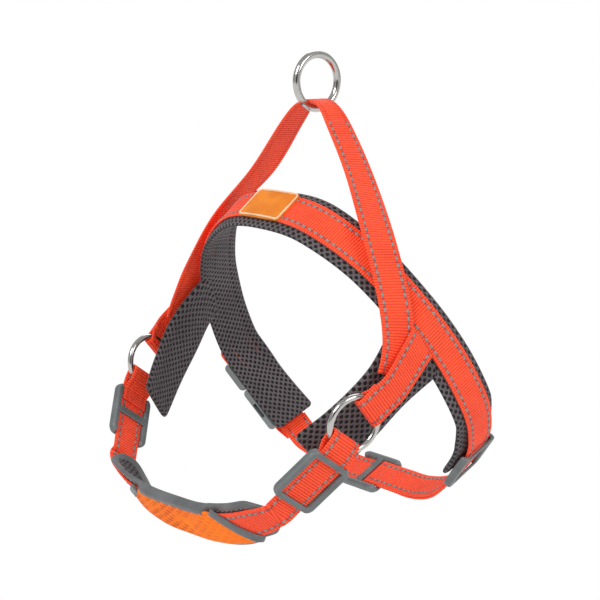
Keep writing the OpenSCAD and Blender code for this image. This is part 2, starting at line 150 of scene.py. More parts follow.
# ---- vectors, splines and frames -----------------------------------------------------------
# A line of frames is an array (n, 3, 3): each frame holds a point, the width direction and the
# outward normal. The length of the width direction is 1 at full width.

FLIP = np.array([-1.0, 1.0, 1.0])


def unit(v):
    v = np.asarray(v, float)
    return v / np.linalg.norm(v, axis=-1, keepdims=True)


def smooth(share):
    """Smooth step of a share from 0 to 1."""
    return share * share * (3 - 2 * share)


def both_halves(points):
    """A line's left half, from the middle out, with its mirror image before it."""
    p = np.array(points, float)
    return np.vstack([p[::-1] * FLIP, p[1:]])


def curve(points, steps=STEPS):
    """Catmull-Rom spline through the points."""
    p = np.array(points, float)
    t = (np.arange(steps) / steps)[:, None]
    out = []
    for i in range(len(p) - 1):
        a = p[i - 1] if i else 2 * p[0] - p[1]
        b, c = p[i], p[i + 1]
        d = p[i + 2] if i + 2 < len(p) else 2 * p[i + 1] - p[i]
        out.append(0.5 * (2 * b + (c - a) * t + (2 * a - 5 * b + 4 * c - d) * t ** 2
                          + (3 * b - a - 3 * c + d) * t ** 3))
    out.append(p[-1:])
    return np.vstack(out)


def frame_of(centre, along, across):
    along = unit(along)
    across = np.asarray(across, float)
    w = unit(across - (across @ along) * along) * np.linalg.norm(across)
    return np.array([centre, w, unit(np.cross(along, w))])


def frames(points, across, steps=STEPS):
    c = curve(points, steps)
    w = curve(across, steps)
    n = len(c) - 1
    return np.array([frame_of(c[i], c[min(i + 1, n)] - c[max(i - 1, 0)], w[i])
                     for i in range(n + 1)])


def frame_at(line, s):
    i = int(min(max(math.floor(s), 0), len(line) - 2))
    t = s - i
    return line[i] * (1 - t) + line[i + 1] * t


def turned(f):
    return np.array([f[0], -f[1], f[2]])


def place(f, across, out):
    return f[..., 0, :] + f[..., 1, :] * across + f[..., 2, :] * out


def shifted(f, along, out):
    return np.array([f[0] + np.cross(f[1], f[2]) * along + f[2] * out, f[1], f[2]])


def fold(f, radius, nose):
    """Frames round a half-turn; f lies on the wire or bar, and the fold's nose points along."""
    along = np.cross(f[1], f[2]) * nose
    rows = []
    for k in range(FOLD_STEPS + 1):
        a = math.pi * k / FOLD_STEPS
        out = f[2] * math.cos(a) + along * math.sin(a)
        rows.append([f[0] + out * radius, f[1], out])
    return np.array(rows)


def folded_end(f, radius, nose, lengths):
    """The layer that comes back from a fold, pulled up against the outer layer."""
    under = radius - WEB_T - GAP
    rows = []
    for along, out in ((lengths[0], -radius), (lengths[1], under), (lengths[2], under)):
        q = shifted(f, -nose * along, out)
        rows.append([q[0], q[1], -q[2]])
    return np.array(rows)


def through_frames(f, steps=STEPS):
    """Spline through whole frames."""
    f = np.array(f)
    out = np.stack([curve(f[:, k], steps) for k in range(3)], axis=1)
    out[:, 2] = unit(out[:, 2])
    return out


def lengths_of(line):
    steps = np.linalg.norm(np.diff(line[:, 0], axis=0), axis=1)
    return np.concatenate([[0], np.cumsum(steps)])


def frames_at(line, at):
    """Frames of a line at distances along it."""
    d = lengths_of(line)
    flat = line.reshape(len(line), 9)
    values = [np.interp(at, d, flat[:, k]) for k in range(9)]
    return np.stack(values, axis=-1).reshape(*np.shape(at), 3, 3)


def resampled(line, spacing=SPACING):
    """The same line with evenly spaced frames."""
    line = line[np.concatenate([[True], np.diff(lengths_of(line)) > SAME_PLACE])]
    length = lengths_of(line)[-1]
    out = frames_at(line, np.linspace(0, length, max(int(round(length / spacing)), 2) + 1))
    out[:, 2] = unit(out[:, 2])
    return out


def eased(line, reach):
    """Evens out the corners of a line over that many of its frames; the ends stay."""
    padded_line = np.concatenate([np.repeat(line[:1], reach, 0), line, np.repeat(line[-1:], reach, 0)])
    weights = np.hanning(2 * reach + 3)[1:-1]
    weights /= weights.sum()
    out = sum(w * padded_line[k:k + len(line)] for k, w in enumerate(weights))
    out[:, 2] = unit(out[:, 2])
    return out


def mirrored(line):
    return line * FLIP


def to_model(points):
    return (np.asarray(points, float) - MODEL_ORIGIN) * MM


# ---- lines that the straps follow ----------------------------------------------------------

girth = frames(both_halves(GIRTH_POINTS), both_halves(unit(GIRTH_ACROSS)))
lead_line = frames(both_halves(LEAD_POINTS), both_halves(LEAD_ACROSS))


def girth_place(s):
    """A frame of the girth loop: 0 is the top of the back, GIRTH_HALF the middle of the belly."""
    wrapped = s - 2 * GIRTH_HALF if s > GIRTH_HALF else s
    return frame_at(girth, (GIRTH_HALF + wrapped) * STEPS)


def girth_part(first, end):
    return np.array([girth_place(s) for s in np.linspace(first, end, int((end - first) * STEPS) + 1)])


chest_along = unit([-0.17, -0.58, -0.80])
ring_frame = frame_of(RING_CENTRE, chest_along, unit([0.05, 0.8, -0.6]))
fold_radius = SIDE_RING_WIRE / 2 + GAP + WEB_T / 2
arm_along = chest_along * math.cos(ARM_TURN) + ring_frame[1] * math.sin(ARM_TURN)
arm_frame = frame_of(RING_CENTRE, arm_along, ring_frame[1])


def chest_line(s):
    """The chest strap below the left ring, s mm from the ring's centre."""
    radius = (CHEST_BEND_TO - CHEST_BEND_FROM) / CHEST_BEND
    f = shifted(ring_frame, CHEST_BEND_FROM, fold_radius)
    a = CHEST_BEND * min(max((s - CHEST_BEND_FROM) / (CHEST_BEND_TO - CHEST_BEND_FROM), 0), 1)
    straight = min(s - CHEST_BEND_FROM, 0) + max(s - CHEST_BEND_TO, 0)
    along = chest_along * math.cos(a) - f[2] * math.sin(a)
    centre = f[0] + radius * (chest_along * math.sin(a) - f[2] * (1 - math.cos(a))) + along * straight
    return np.array([centre, f[1], f[2] * math.cos(a) + chest_along * math.sin(a)])


chest_lead = np.array([chest_line(s) for s in (72, 80)])
chest = frames(np.vstack([chest_lead[:, 0], CHEST_POINTS, chest_lead[::-1, 0] * FLIP]),
               np.vstack([chest_lead[:, 1], unit(CHEST_PAD_ACROSS), chest_lead[::-1, 1] * FLIP]))
chest_middle = (len(chest) - 1) / 2


def chest_place(s):
    """A frame of the chest strap: 0 is its middle and CHEST_END the pad's end."""
    return frame_at(chest, chest_middle + s * STEPS)


buckle_top = place(girth_place(BUCKLE_TOP_PLACE), 0, BUCKLE_LIFT)
buckle_low = place(girth_place(BUCKLE_LOW_PLACE), 0, BUCKLE_LIFT)
buckle_along = unit(buckle_low - buckle_top)
buckle_frame = frame_of(buckle_top + buckle_along * PLUG_L, buckle_along,
                        -girth_place((BUCKLE_TOP_PLACE + BUCKLE_LOW_PLACE) / 2)[1])
plug_bar = shifted(buckle_frame, -PLUG_L + BUCKLE_BAR / 2 + 1, 0)
socket_bar = shifted(buckle_frame, SOCKET_L - BUCKLE_BAR / 2 - 1, 0)
bar_fold_radius = BUCKLE_BAR / 2 * math.sqrt(2) + GAP + WEB_T / 2


def saddle_webbing_line():
    bar = turned(plug_bar)
    r = bar_fold_radius
    tail = folded_end(bar, r, -1, [3.5, 7, 11])
    points = [shifted(bar, 0, r)[0], shifted(bar, 11, r)[0], place(girth_place(-5.15), 0, 6.5),
              place(girth_place(-4.8), 0, 1.8), girth_place(-4.5)[0], girth_place(-4.2)[0]]
    across = [bar[1] if i < 2 else girth_place(-5)[1] for i in range(6)]
    drop = frames(points, across)
    return np.concatenate([tail[::-1], fold(bar, r, -1)[::-1], drop[1:-1],
                           girth_part(-4.2, SLIDER_PASS)])


def belly_strap_line():
    lift = -BUCKLE_T / 2 - 1.3
    ends = [turned(shifted(buckle_frame, SOCKET_L + x, lift)) for x in (22, 12, 3)]
    return np.concatenate([girth_part(SLIDER_PASS + 0.02, 14.7), ends])


def arm_webbing_line():
    edge = -WEB_W / 2 - 0.5
    upper = place(girth_place(3.15), edge, 6.5)
    lower = place(girth_place(3.72), edge, 3)
    start = np.array([(upper + lower) / 2, (lower - upper) / WEB_W, girth_place(3.4)[2]])
    run = [start] + [shifted(arm_frame, -s, fold_radius) for s in (38, 26, FOLD_PLACE)]
    wire = shifted(arm_frame, -FOLD_PLACE, 0)
    outer = eased(resampled(through_frames(run), 1.0), 6)
    tail = []
    for back, out in ((4, -4.6), (8, -WEB_T - GAP), (14, -WEB_T - GAP)):
        q = shifted(outer[-1 - back], 0, out)
        tail.append([q[0], q[1], -q[2]])
    return np.concatenate([outer, fold(wire, fold_radius, 1)[1:], tail])


def chest_strap_line():
    wire = shifted(ring_frame, FOLD_PLACE, 0)
    under = -WEB_T - GAP
    tail = []
    for s, out in ((39, under), (29, under), (21, -2 * fold_radius)):
        q = shifted(chest_line(s), 0, out)
        tail.append([q[0], q[1], -q[2]])
    bend = [chest_line(s) for s in np.arange(CHEST_BEND_FROM, CHEST_BEND_TO + 1, 2)]
    left = np.concatenate([tail, fold(wire, fold_radius, -1)[::-1], bend, [chest_line(50)]])
    return np.concatenate([left, chest, mirrored(left[::-1])])


def socket_tab_line():
    r = bar_fold_radius
    bar = turned(socket_bar)
    inner = [shifted(bar, x, z) for x, z in ((-5, -r), (-16, -4.3))]
    return np.concatenate([[shifted(bar, -16, -2.4), shifted(bar, -5, r)], fold(bar, r, 1),
                           [[f[0], f[1], -f[2]] for f in inner]])


def arm_pad_line():
    edge = -SADDLE_PAD_W / 2 - 0.5
    lift = -PAD_FACE - PAD_T / 2
    upper = place(girth_place(2.95), edge, lift)
    lower = place(girth_place(4.1), edge, lift)
    start = np.array([(upper + lower) / 2, (lower - upper) / ARM_PAD_W, girth_place(3.5)[2]])
    points = [start[0]] + [np.array(p, float) for p in ARM_PAD_POINTS]
    rows = [shifted(start, -ARM_PAD_TUCK, -0.6), start]
    for i in range(1, len(points)):
        j = max(i, 2)
        rows.append(frame_of(points[i], points[j] - points[j - (2 if i < 3 else 1)],
                             unit(ARM_PAD_ACROSS[i - 1])))
    return through_frames(rows)


# ---- meshes --------------------------------------------------------------------------------

def new_object(name, mesh, body, nodes, material):
    piece = bpy.data.objects.new(name, mesh)
    bpy.context.scene.collection.objects.link(piece)
    mesh.materials.append(material)
    for polygon in mesh.polygons:
        polygon.use_smooth = True
    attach(piece, body)
    if nodes:
        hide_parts(*nodes)
    return piece


def outward(mesh):
    """Turns every face of a closed mesh outwards."""
    work = bmesh.new()
    work.from_mesh(mesh)
    bmesh.ops.recalc_face_normals(work, faces=work.faces)
    work.to_mesh(mesh)
    work.free()


def loft_mesh(name, rows, uv, loop=False):
    """Skin over rows (n, m, 3) of closed sections, with uv (n, m, 2) in millimetres."""
    n, m = rows.shape[:2]
    verts = to_model(rows.reshape(-1, 3))
    faces = []
    for i in range(n if loop else n - 1):
        for j in range(m):
            k = (j + 1) % m
            i2 = (i + 1) % n
            faces.append((i * m + j, i * m + k, i2 * m + k, i2 * m + j))
    if not loop:
        faces.append(tuple(range(m - 1, -1, -1)))
        faces.append(tuple((n - 1) * m + j for j in range(m)))
    mesh = bpy.data.meshes.new(name)
    mesh.from_pydata(verts.tolist(), [], faces)
    flat = uv.reshape(-1, 2) * MM
    layer = mesh.uv_layers.new(name="strap")
    index = np.zeros(len(mesh.loops), np.int64)
    mesh.loops.foreach_get("vertex_index", index)
    layer.data.foreach_set("uv", flat[index].astype(np.float32).ravel())
    outward(mesh)
    return mesh


def loft_piece(name, rows, uv, body, nodes, material, loop=False):
    mesh = loft_mesh(name, np.array(rows), np.array(uv), loop)
    return new_object(name, mesh, body, nodes, material)


def uv_grid(across, along):
    """The strap's own coordinates of a loft, one row for each place along."""
    return np.stack(np.broadcast_arrays(across[None, :], along[:, None]), axis=-1)


def band_section(width, thickness, face_points=14, corner=0.42):
    """Closed flat section with rounded edges: (across, out) pairs."""
    r = thickness * corner
    half, h = width / 2, thickness / 2
    flat = np.linspace(-half + r, half - r, face_points)
    turn = np.linspace(90, -90, 7)[1:-1]
    edge = [(half - r + r * math.cos(math.radians(a)),
             (h - r) * (1 if a > 0 else -1 if a < 0 else 0) + r * math.sin(math.radians(a)))
            for a in turn]
    top = [(a, h) for a in flat]
    bottom = [(a, -h) for a in flat[::-1]]
    return np.array(top + edge + bottom + [(-a, -o) for a, o in edge])


def section_rows(line, section, lift=0.0):
    """Rows of a constant section carried along a line, and their uv."""
    a, h = section[:, 0], section[:, 1]
    rows = (line[:, None, 0] + line[:, None, 1] * a[None, :, None]
            + line[:, None, 2] * (h + lift)[None, :, None])
    return rows, uv_grid(a, lengths_of(line))


def undulated(line, amount, wave, seed):
    """A strap is never quite flat: slow waves along it, none at its ends."""
    d = lengths_of(line)
    ends = np.clip(np.minimum(d, d[-1] - d) / 25.0, 0, 1)
    wobble = (np.sin(d / wave * 2 * math.pi + seed) + 0.5 * np.sin(d / wave * 4.7 + 2.1 * seed))
    out = line.copy()
    out[:, 0] += line[:, 2] * (wobble * ends * amount)[:, None]
    return out


def webbing(name, line, body, nodes, material, width=WEB_W, lift=0.0, thickness=WEB_T):
    rows, uv = section_rows(line, band_section(width, thickness), lift)
    return loft_piece(name, rows, uv, body, nodes, material)


def bead_shape(size):
    """A stitch: a low rounded float of thread, (along, across, out) points and faces."""
    around, rings = 8, (-1.0, -0.86, -0.5, 0.0, 0.5, 0.86, 1.0)
    points, faces = [], []
    for x in rings:
        r = math.sqrt(max(1 - x ** 4, 0.0)) * 0.94 + 0.06
        for k in range(around):
            a = 2 * math.pi * k / around
            points.append((x * size[0] / 2, r * math.cos(a) * size[1] / 2, r * math.sin(a) * size[2] / 2))
    for i in range(len(rings) - 1):
        for k in range(around):
            j = (k + 1) % around
            faces.append((i * around + k, i * around + j, (i + 1) * around + j, (i + 1) * around + k))
    faces.append(tuple(range(around - 1, -1, -1)))
    faces.append(tuple((len(rings) - 1) * around + k for k in range(around)))
    return np.array(points), faces


def bead_mesh(name, spots, size):
    """Stitches at frames (n, 3, 3) whose points are the stitches' middles."""
    shape, faces = bead_shape(size)
    along = np.cross(spots[:, 1], spots[:, 2])
    points = (spots[:, None, 0] + along[:, None] * shape[None, :, 0:1]
              + unit(spots[:, 1])[:, None] * shape[None, :, 1:2]
              + spots[:, None, 2] * shape[None, :, 2:3])
    all_faces = [tuple(i * len(shape) + k for k in f) for i in range(len(spots)) for f in faces]
    mesh = bpy.data.meshes.new(name)
    mesh.from_pydata(to_model(points.reshape(-1, 3)).tolist(), [], all_faces)
    outward(mesh)
    return mesh


def stitches(name, spots, size, body, material):
    new_object(name, bead_mesh(name, spots, size), body, (), material)


def spots_along(line, offset, out, pitch, start=2.0):
    """Frames every pitch along a line, moved across and outwards."""
    f = frames_at(line, np.arange(start, lengths_of(line)[-1] - start, pitch))
    f[:, 2] = unit(f[:, 2])
    f[:, 0] = place(f, offset, out)
    return f


def reflective_rows(name, line, body, faces=(1,), lift=0.0, width=WEB_W, trim=(0.0, 0.0)):
    """Two rows of reflective thread floats with the dark ground thread between them."""
    d = lengths_of(line)
    inside = (d >= trim[0]) & (d <= d[-1] - trim[1])
    line = line[inside]
    offset = ROW_PLACE * width / WEB_W
    spots = [spots_along(line, side * offset, lift + face * (WEB_T / 2 - 0.02), THREAD_PITCH,
                         2.0 + 0.4 * side)
             for side in (-1, 1) for face in faces]
    stitches(name + "_thread", np.concatenate(spots), REFLECTIVE_FLOAT, body, thread_material)
    for side in (-1, 1):
        for face in faces:
            rows, uv = section_rows(line, band_section(0.75, 0.3, 3), 0.0)
            rows = rows + (line[:, None, 1] * side * offset
                           + line[:, None, 2] * (lift + face * (WEB_T / 2 + 0.02)))
            label = f"{name}_ground_{'left' if side > 0 else 'right'}_{'out' if face > 0 else 'in'}"
            loft_piece(label, rows, uv, body, (), ground_thread_material)


# ---- materials -----------------------------------------------------------------------------

class Shader:
    """A material's node tree, with short calls for the nodes that the materials here need."""

    def __init__(self, name, **values):
        self.material = bpy.data.materials.new(name)
        self.material.use_nodes = True
        self.tree = self.material.node_tree
        self.surface = self.tree.nodes["Principled BSDF"]
        for key, value in values.items():
            self.surface.inputs[key.replace("_", " ")].default_value = value

    def node(self, kind, *inputs, **settings):
        made = self.tree.nodes.new(kind)
        for key, value in settings.items():
            setattr(made, key, value)
        for i, value in enumerate(inputs):
            self.feed(made.inputs[i], value)
        return made

    def feed(self, socket, value):
        if value is None:
            return
        if isinstance(value, bpy.types.NodeSocket):
            self.tree.links.new(value, socket)
        else:
            socket.default_value = value

    def math(self, operation, *inputs):
        return self.node("ShaderNodeMath", *inputs, operation=operation).outputs[0]

    def weighted(self, *terms):
        """Sum of (value, weight) pairs."""
        total = None
        for value, weight in terms:
            term = value if weight == 1 else self.math("MULTIPLY", value, weight)
            total = term if total is None else self.math("ADD", total, term)
        return total

    def wave(self, value, pitch):
        return self.math("SINE", self.math("MULTIPLY", value, 2 * math.pi / pitch))

    def squared(self, value):
        return self.math("POWER", self.math("ABSOLUTE", value), 2.0)

    def cell(self, value, pitch, offset, size):
        """Place within a repeating cell, from minus to plus half its size."""
        moved = self.math("ADD", self.math("MULTIPLY", value, 1 / pitch), offset)
        from_middle = self.math("SUBTRACT", self.math("FRACT", moved), 0.5)
        return self.math("MULTIPLY", from_middle, size)

    def uv(self):
        """The strap's own coordinates in millimetres: across it and along it."""
        uv = self.node("ShaderNodeUVMap", uv_map="strap").outputs[0]
        split = self.node("ShaderNodeSeparateXYZ", uv)
        return [self.math("MULTIPLY", split.outputs[k], 1000.0) for k in (0, 1)]

    def noise(self, scale, detail=2.0, roughness=0.5):
        """Noise fixed to the piece, its features about 1 / scale metres across."""
        where = self.node("ShaderNodeTexCoord").outputs["Object"]
        made = self.node("ShaderNodeTexNoise", where)
        made.inputs["Scale"].default_value = scale
        made.inputs["Detail"].default_value = detail
        made.inputs["Roughness"].default_value = roughness
        return made.outputs[0]

    def step(self, value, low, high, out_low=0.0, out_high=1.0):
        made = self.node("ShaderNodeMapRange", value, low, high, out_low, out_high,
                         interpolation_type="SMOOTHSTEP")
        return made.outputs[0]

    def mix(self, share, first, second):
        made = self.node("ShaderNodeMix", data_type="RGBA")
        self.feed(made.inputs[0], share)
        self.feed(made.inputs[6], first)
        self.feed(made.inputs[7], second)
        return made.outputs[2]

    def bump(self, height, distance, strength=1.0):
        made = self.node("ShaderNodeBump")
        made.inputs["Strength"].default_value = strength
        made.inputs["Distance"].default_value = distance
        self.feed(made.inputs["Height"], height)
        self.tree.links.new(made.outputs[0], self.surface.inputs["Normal"])

    def color(self, value):
        self.feed(self.surface.inputs["Base Color"], value)

    def roughness(self, value):
        self.feed(self.surface.inputs["Roughness"], value)


def webbing_shader(name, light, dark, rib_pitch):
    """Woven polyester: ribs across, fine warp yarns along them, the bump a little lower at the selvedges.
    """
    # The faint red emission is a painted glow, not a lamp: it keeps the webbing's red bright where it lies
    # in shade.
    s = Shader(name, Sheen_Weight=0.08, Sheen_Roughness=0.45, Specular_IOR_Level=0.25,
               Emission_Color=(1.0, 0.025, 0.0, 1), Emission_Strength=0.16)
    across, along = s.uv()
    rib = s.math("ABSOLUTE", s.math("SINE", s.math("MULTIPLY", along, math.pi / rib_pitch)))
    rib = s.math("POWER", rib, 0.8)
    parity = s.math("MULTIPLY", s.math("FLOOR", s.math("MULTIPLY", along, 1 / rib_pitch)), math.pi)
    yarn = s.math("SINE", s.math("ADD", s.math("MULTIPLY", across, 2 * math.pi / 1.1), parity))
    slow = s.noise(45.0, 3.0)
    fine = s.noise(900.0, 2.0)
    edge = s.step(s.math("ABSOLUTE", across), WEB_W / 2 - 1.9, WEB_W / 2 - 1.2)
    row = s.math("ABSOLUTE", s.math("SUBTRACT", s.math("ABSOLUTE", across), ROW_PLACE))
    dip = s.step(row, 0.5, 1.5, 0.45, 0.0)
    height = s.weighted((rib, 1), (yarn, 0.16), (fine, 0.35), (dip, -1.0), (edge, -0.25))
    # Painted shade: the colour follows the bump, darker in the rib valleys and in the lowered grooves of
    # the reflective rows.
    tone = s.weighted((rib, 0.62), (slow, 0.55), (yarn, 0.07), (dip, -0.5))
    s.color(s.mix(s.step(tone, 0.1, 0.95), dark, light))
    s.roughness(s.step(fine, 0.3, 0.7, 0.62, 0.82))
    s.bump(height, 0.0006, 0.9)
    return s.material


def mesh_shader(name, light, dark, pitch=5.4, hole=1.15, squash=0.82):
    """Air mesh: knitted bars round a diamond grid of holes, painted near black as the shade in them."""
    s = Shader(name, Sheen_Weight=0.12, Sheen_Roughness=0.5, Specular_IOR_Level=0.25)
    across, along = s.uv()
    near = []
    for offset in (0.0, 0.5):
        x = s.cell(across, pitch, offset, pitch)
        y = s.cell(along, pitch, offset, pitch * squash)
        near.append(s.math("SQRT", s.math("ADD", s.squared(x), s.squared(y))))
    distance = s.math("MINIMUM", near[0], near[1])
    solid = s.step(distance, hole - 0.2, hole + 0.25)
    knit = s.math("MULTIPLY", s.wave(along, 0.9), s.wave(across, 0.9))
    fine = s.noise(700.0, 2.0)
    slow = s.noise(30.0, 2.0)
    crown = s.step(distance, hole, pitch * 0.45, 0.0, 0.5)
    tone = s.weighted((fine, 0.6), (slow, 0.5), (knit, 0.12))
    bars = s.mix(s.step(tone, 0.25, 0.85), dark, light)
    # Painted shade: the holes are coloured near black for the shade inside them; their depth is only in the
    # bump.
    s.color(s.mix(solid, (0.006, 0.005, 0.006, 1), bars))
    s.roughness(s.step(fine, 0.3, 0.7, 0.7, 0.88))
    s.bump(s.weighted((solid, 1), (crown, 1), (knit, 0.06), (fine, 0.1)), 0.0007, 0.9)
    return s.material


def print_shader(name, ground, mark, row_pitch=6.4, mark_pitch=9.5):
    """The chest panel's cloth: plain weave with rows of small printed scallops."""
    # The faint orange emission is a painted glow, not a lamp: it keeps the panel's orange bright and deep.
    s = Shader(name, Specular_IOR_Level=0.12, Emission_Color=(1.0, 0.16, 0.0, 1), Emission_Strength=0.14)
    across, along = s.uv()
    marks = []
    for offset in (0.0, 0.5):
        u = s.cell(across, row_pitch, offset, row_pitch)
        v = s.cell(along, mark_pitch, offset, mark_pitch)
        stretched = s.math("MULTIPLY", s.squared(v), 0.22)
        round_1 = s.math("SQRT", s.math("ADD", s.squared(u), stretched))
        low = s.math("ADD", u, 1.6)
        round_2 = s.math("SQRT", s.math("ADD", s.squared(low), stretched))
        marks.append(s.math("MULTIPLY", s.step(round_1, 1.3, 2.0, 1.0, 0.0),
                            s.step(round_2, 0.6, 1.2, 0.3, 1.0)))
    printed = s.math("MAXIMUM", marks[0], marks[1])
    faded = s.step(s.noise(70.0, 2.0), 0.34, 0.56)
    faded = s.math("MULTIPLY", faded, s.step(along, -60.0, 20.0, 0.25, 1.0))
    printed = s.math("MULTIPLY", printed, faded)
    weave = s.math("MULTIPLY", s.wave(along, 0.8), s.wave(across, 0.8))
    slow = s.noise(40.0, 3.0)
    base = s.mix(s.step(slow, 0.3, 0.7), ground, (ground[0], ground[1] * 1.2, ground[2] * 1.4, 1))
    s.color(s.mix(s.math("MULTIPLY", printed, 0.72), base, mark))
    s.roughness(s.step(slow, 0.3, 0.7, 0.6, 0.75))
    s.bump(s.weighted((weave, 1), (printed, -0.6)), 0.00012, 0.7)
    return s.material


def tape_shader(name, light, dark):
    """Binding tape: tight fine weave, nearly smooth, with soft creases."""
    s = Shader(name, Sheen_Weight=0.2, Sheen_Roughness=0.4, Specular_IOR_Level=0.35)
    weave = s.wave(s.uv()[1], 0.7)
    fine = s.noise(1100.0, 2.0)
    slow = s.noise(60.0, 3.0)
    s.color(s.mix(s.step(s.weighted((slow, 1), (fine, 0.3)), 0.4, 0.9), dark, light))
    s.roughness(s.step(fine, 0.3, 0.7, 0.5, 0.66))
    s.bump(s.weighted((weave, 0.15), (slow, 1.2), (fine, 0.3)), 0.00025, 0.6)
    return s.material


def plastic_shader(name, light, dark):
    """Moulded acetal: fine spark-eroded grain, with a painted highlight lighter along its convex edges."""
    s = Shader(name, Specular_IOR_Level=0.45, Coat_Weight=0.08, Coat_Roughness=0.35)
    grain = s.noise(1600.0, 3.0)
    slow = s.noise(70.0, 2.0)
    # Painted highlight: edges found by their pointiness are mixed towards a lighter grey.
    edge_highlight = s.step(s.node("ShaderNodeNewGeometry").outputs["Pointiness"], 0.5, 0.56)
    body = s.mix(s.step(slow, 0.3, 0.7), dark, light)
    highlight_color = tuple(min(c * 1.5, 1.0) for c in light[:3]) + (1,)
    s.color(s.mix(s.math("MULTIPLY", edge_highlight, 0.4), body, highlight_color))
    s.roughness(s.step(grain, 0.3, 0.7, 0.36, 0.5))
    s.bump(s.weighted((grain, 0.5), (slow, 1)), 0.00012, 0.5)
    return s.material


def steel_shader(name):
    """Polished wire with fine rubbing: noise in its tone, roughness and bump."""
    s = Shader(name, Metallic=1.0)
    fine = s.noise(1400.0, 4.0, 0.6)
    slow = s.noise(90.0, 3.0)
    s.color(s.mix(slow, (0.42, 0.41, 0.40, 1), (0.64, 0.63, 0.60, 1)))
    s.roughness(s.step(s.weighted((slow, 1), (fine, 0.4)), 0.4, 0.95, 0.12, 0.2))
    s.bump(s.weighted((fine, 0.1), (slow, 1)), 0.00003, 0.05)
    return s.material


def rubber_shader(name, light, dark):
    """Soft moulded label: satin, with a very fine texture."""
    s = Shader(name, Specular_IOR_Level=0.4)
    fine = s.noise(1300.0, 2.0)
    slow = s.noise(80.0, 2.0)
    s.color(s.mix(s.step(slow, 0.35, 0.7), dark, light))
    s.roughness(s.step(fine, 0.3, 0.7, 0.45, 0.6))
    s.bump(s.math("ADD", fine, slow), 0.00012, 0.5)
    return s.material


def thread_shader(name, light, dark, rough, metallic=0.0):
    """Twisted thread."""
    s = Shader(name, Metallic=metallic, Sheen_Weight=0.1)
    fine = s.noise(1800.0, 2.0)
    s.color(s.mix(s.step(fine, 0.3, 0.7), dark, light))
    s.roughness(s.step(fine, 0.3, 0.7, rough, rough + 0.15))
    s.bump(fine, 0.0001, 0.6)
    return s.material


# The webbing's dark colour is partly painted shade, for its rib valleys and row grooves, and partly random
# tone.
web_material = webbing_shader("webbing", (0.97, 0.096, 0.033, 1), (0.50, 0.020, 0.008, 1), 2.0)
pad_material = mesh_shader("mesh_pad", (0.150, 0.131, 0.139, 1), (0.070, 0.058, 0.064, 1))
panel_material = print_shader("chest_fabric", (0.95, 0.19, 0.012, 1), (0.42, 0.02, 0.01, 1))
tape_material = tape_shader("binding", (0.150, 0.158, 0.162, 1), (0.095, 0.100, 0.103, 1))
plastic_material = plastic_shader("plastic", (0.138, 0.150, 0.152, 1), (0.095, 0.104, 0.106, 1))
steel_material = steel_shader("steel")
label_material = rubber_shader("label", (0.80, 0.235, 0.008, 1), (0.70, 0.185, 0.006, 1))
rim_material = rubber_shader("label_edge", (0.86, 0.62, 0.42, 1), (0.80, 0.50, 0.30, 1))
thread_material = thread_shader("reflective_thread", (0.30, 0.29, 0.27, 1), (0.15, 0.15, 0.14, 1), 0.40)
ground_thread_material = thread_shader("ground_thread", (0.16, 0.10, 0.11, 1), (0.07, 0.05, 0.06, 1), 0.55)
tack_thread_material = thread_shader("sewing_thread", (0.30, 0.30, 0.30, 1), (0.18, 0.18, 0.18, 1), 0.5)
red_thread_material = thread_shader("red_thread", (0.80, 0.09, 0.04, 1), (0.5, 0.04, 0.02, 1), 0.5)


# ---- webbing -------------------------------------------------------------------------------

def make_webbing():
    lead = undulated(eased(resampled(lead_line), 3), 0.25, 90.0, 1.0)
    widths = np.linalg.norm(lead[:, 1], axis=1)
    webbing("lead_strap_web", lead, "harness", ["lead_strap"], web_material)
    wide = widths > 0.88
    for side, keep in (("left", lead[:, 0, 0] > 0), ("right", lead[:, 0, 0] < 0)):
        reflective_rows(f"lead_{side}", lead[wide & keep], "harness")

    saddle = resampled(saddle_webbing_line(), 1.0)
    webbing("saddle_web", saddle, "harness", ["saddle_webbing"], web_material)
    reflective_rows("saddle", saddle, "harness", trim=(24.0, 2.0))

    belly = undulated(eased(resampled(belly_strap_line()), 5), 0.3, 70.0, 2.0)
    webbing("belly_strap_web", belly, "harness", ["belly_strap"], web_material)
    reflective_rows("belly", belly, "harness", faces=(1, -1), trim=(3.0, 3.0))
    inner = resampled(girth_part(GIRTH_SLIDER_PLACE + 0.13, 12.38))
    lift = -WEB_T - GAP
    webbing("belly_return_web", inner, "harness", ["belly_strap_return"], web_material, lift=lift)
    reflective_rows("belly_return", inner, "harness", faces=(-1,), lift=lift, trim=(2.0, 2.0))

    strap = resampled(chest_strap_line(), 1.0)
    webbing("chest_strap_web", strap, "harness", ["chest_strap"], web_material)
    reflective_rows("chest", strap, "harness", faces=(1, -1), trim=(30.0, 30.0))

    arm = resampled(arm_webbing_line(), 1.0)
    for side, line in (("left", arm), ("right", mirrored(arm))):
        webbing(f"arm_web_{side}", line, "harness", [f"arm_webbing_{side}"], web_material)
        reflective_rows(f"arm_{side}", line, "harness", trim=(1.5, 21.0))

    tab = resampled(socket_tab_line(), 1.0)
    webbing("socket_tab_web", tab, "buckle_socket", ["buckle_socket_tab"], web_material)


# ---- pads ----------------------------------------------------------------------------------

def pad_section(width, thickness, points=22):
    """Crowned section with round edges, even in (across, out)."""
    half, h = width / 2, thickness / 2
    a = half * np.sin(np.linspace(-math.pi / 2, math.pi / 2, points))
    rise = h * (1 - np.abs(a / half) ** 7) ** 0.5
    top = list(zip(a, rise))
    bottom = list(zip(a[::-1][1:-1], -rise[::-1][1:-1]))
    return np.array(top + bottom)


def end_shape(d, length, reach):
    """1 along a pad, falling to 0 in a round over reach at both ends."""
    near = np.minimum(d, length - d)
    x = np.clip(1 - near / reach, 0, 1)
    return np.sqrt(np.clip(1 - x ** 2, 0.0, 1)) * 0.995 + 0.005


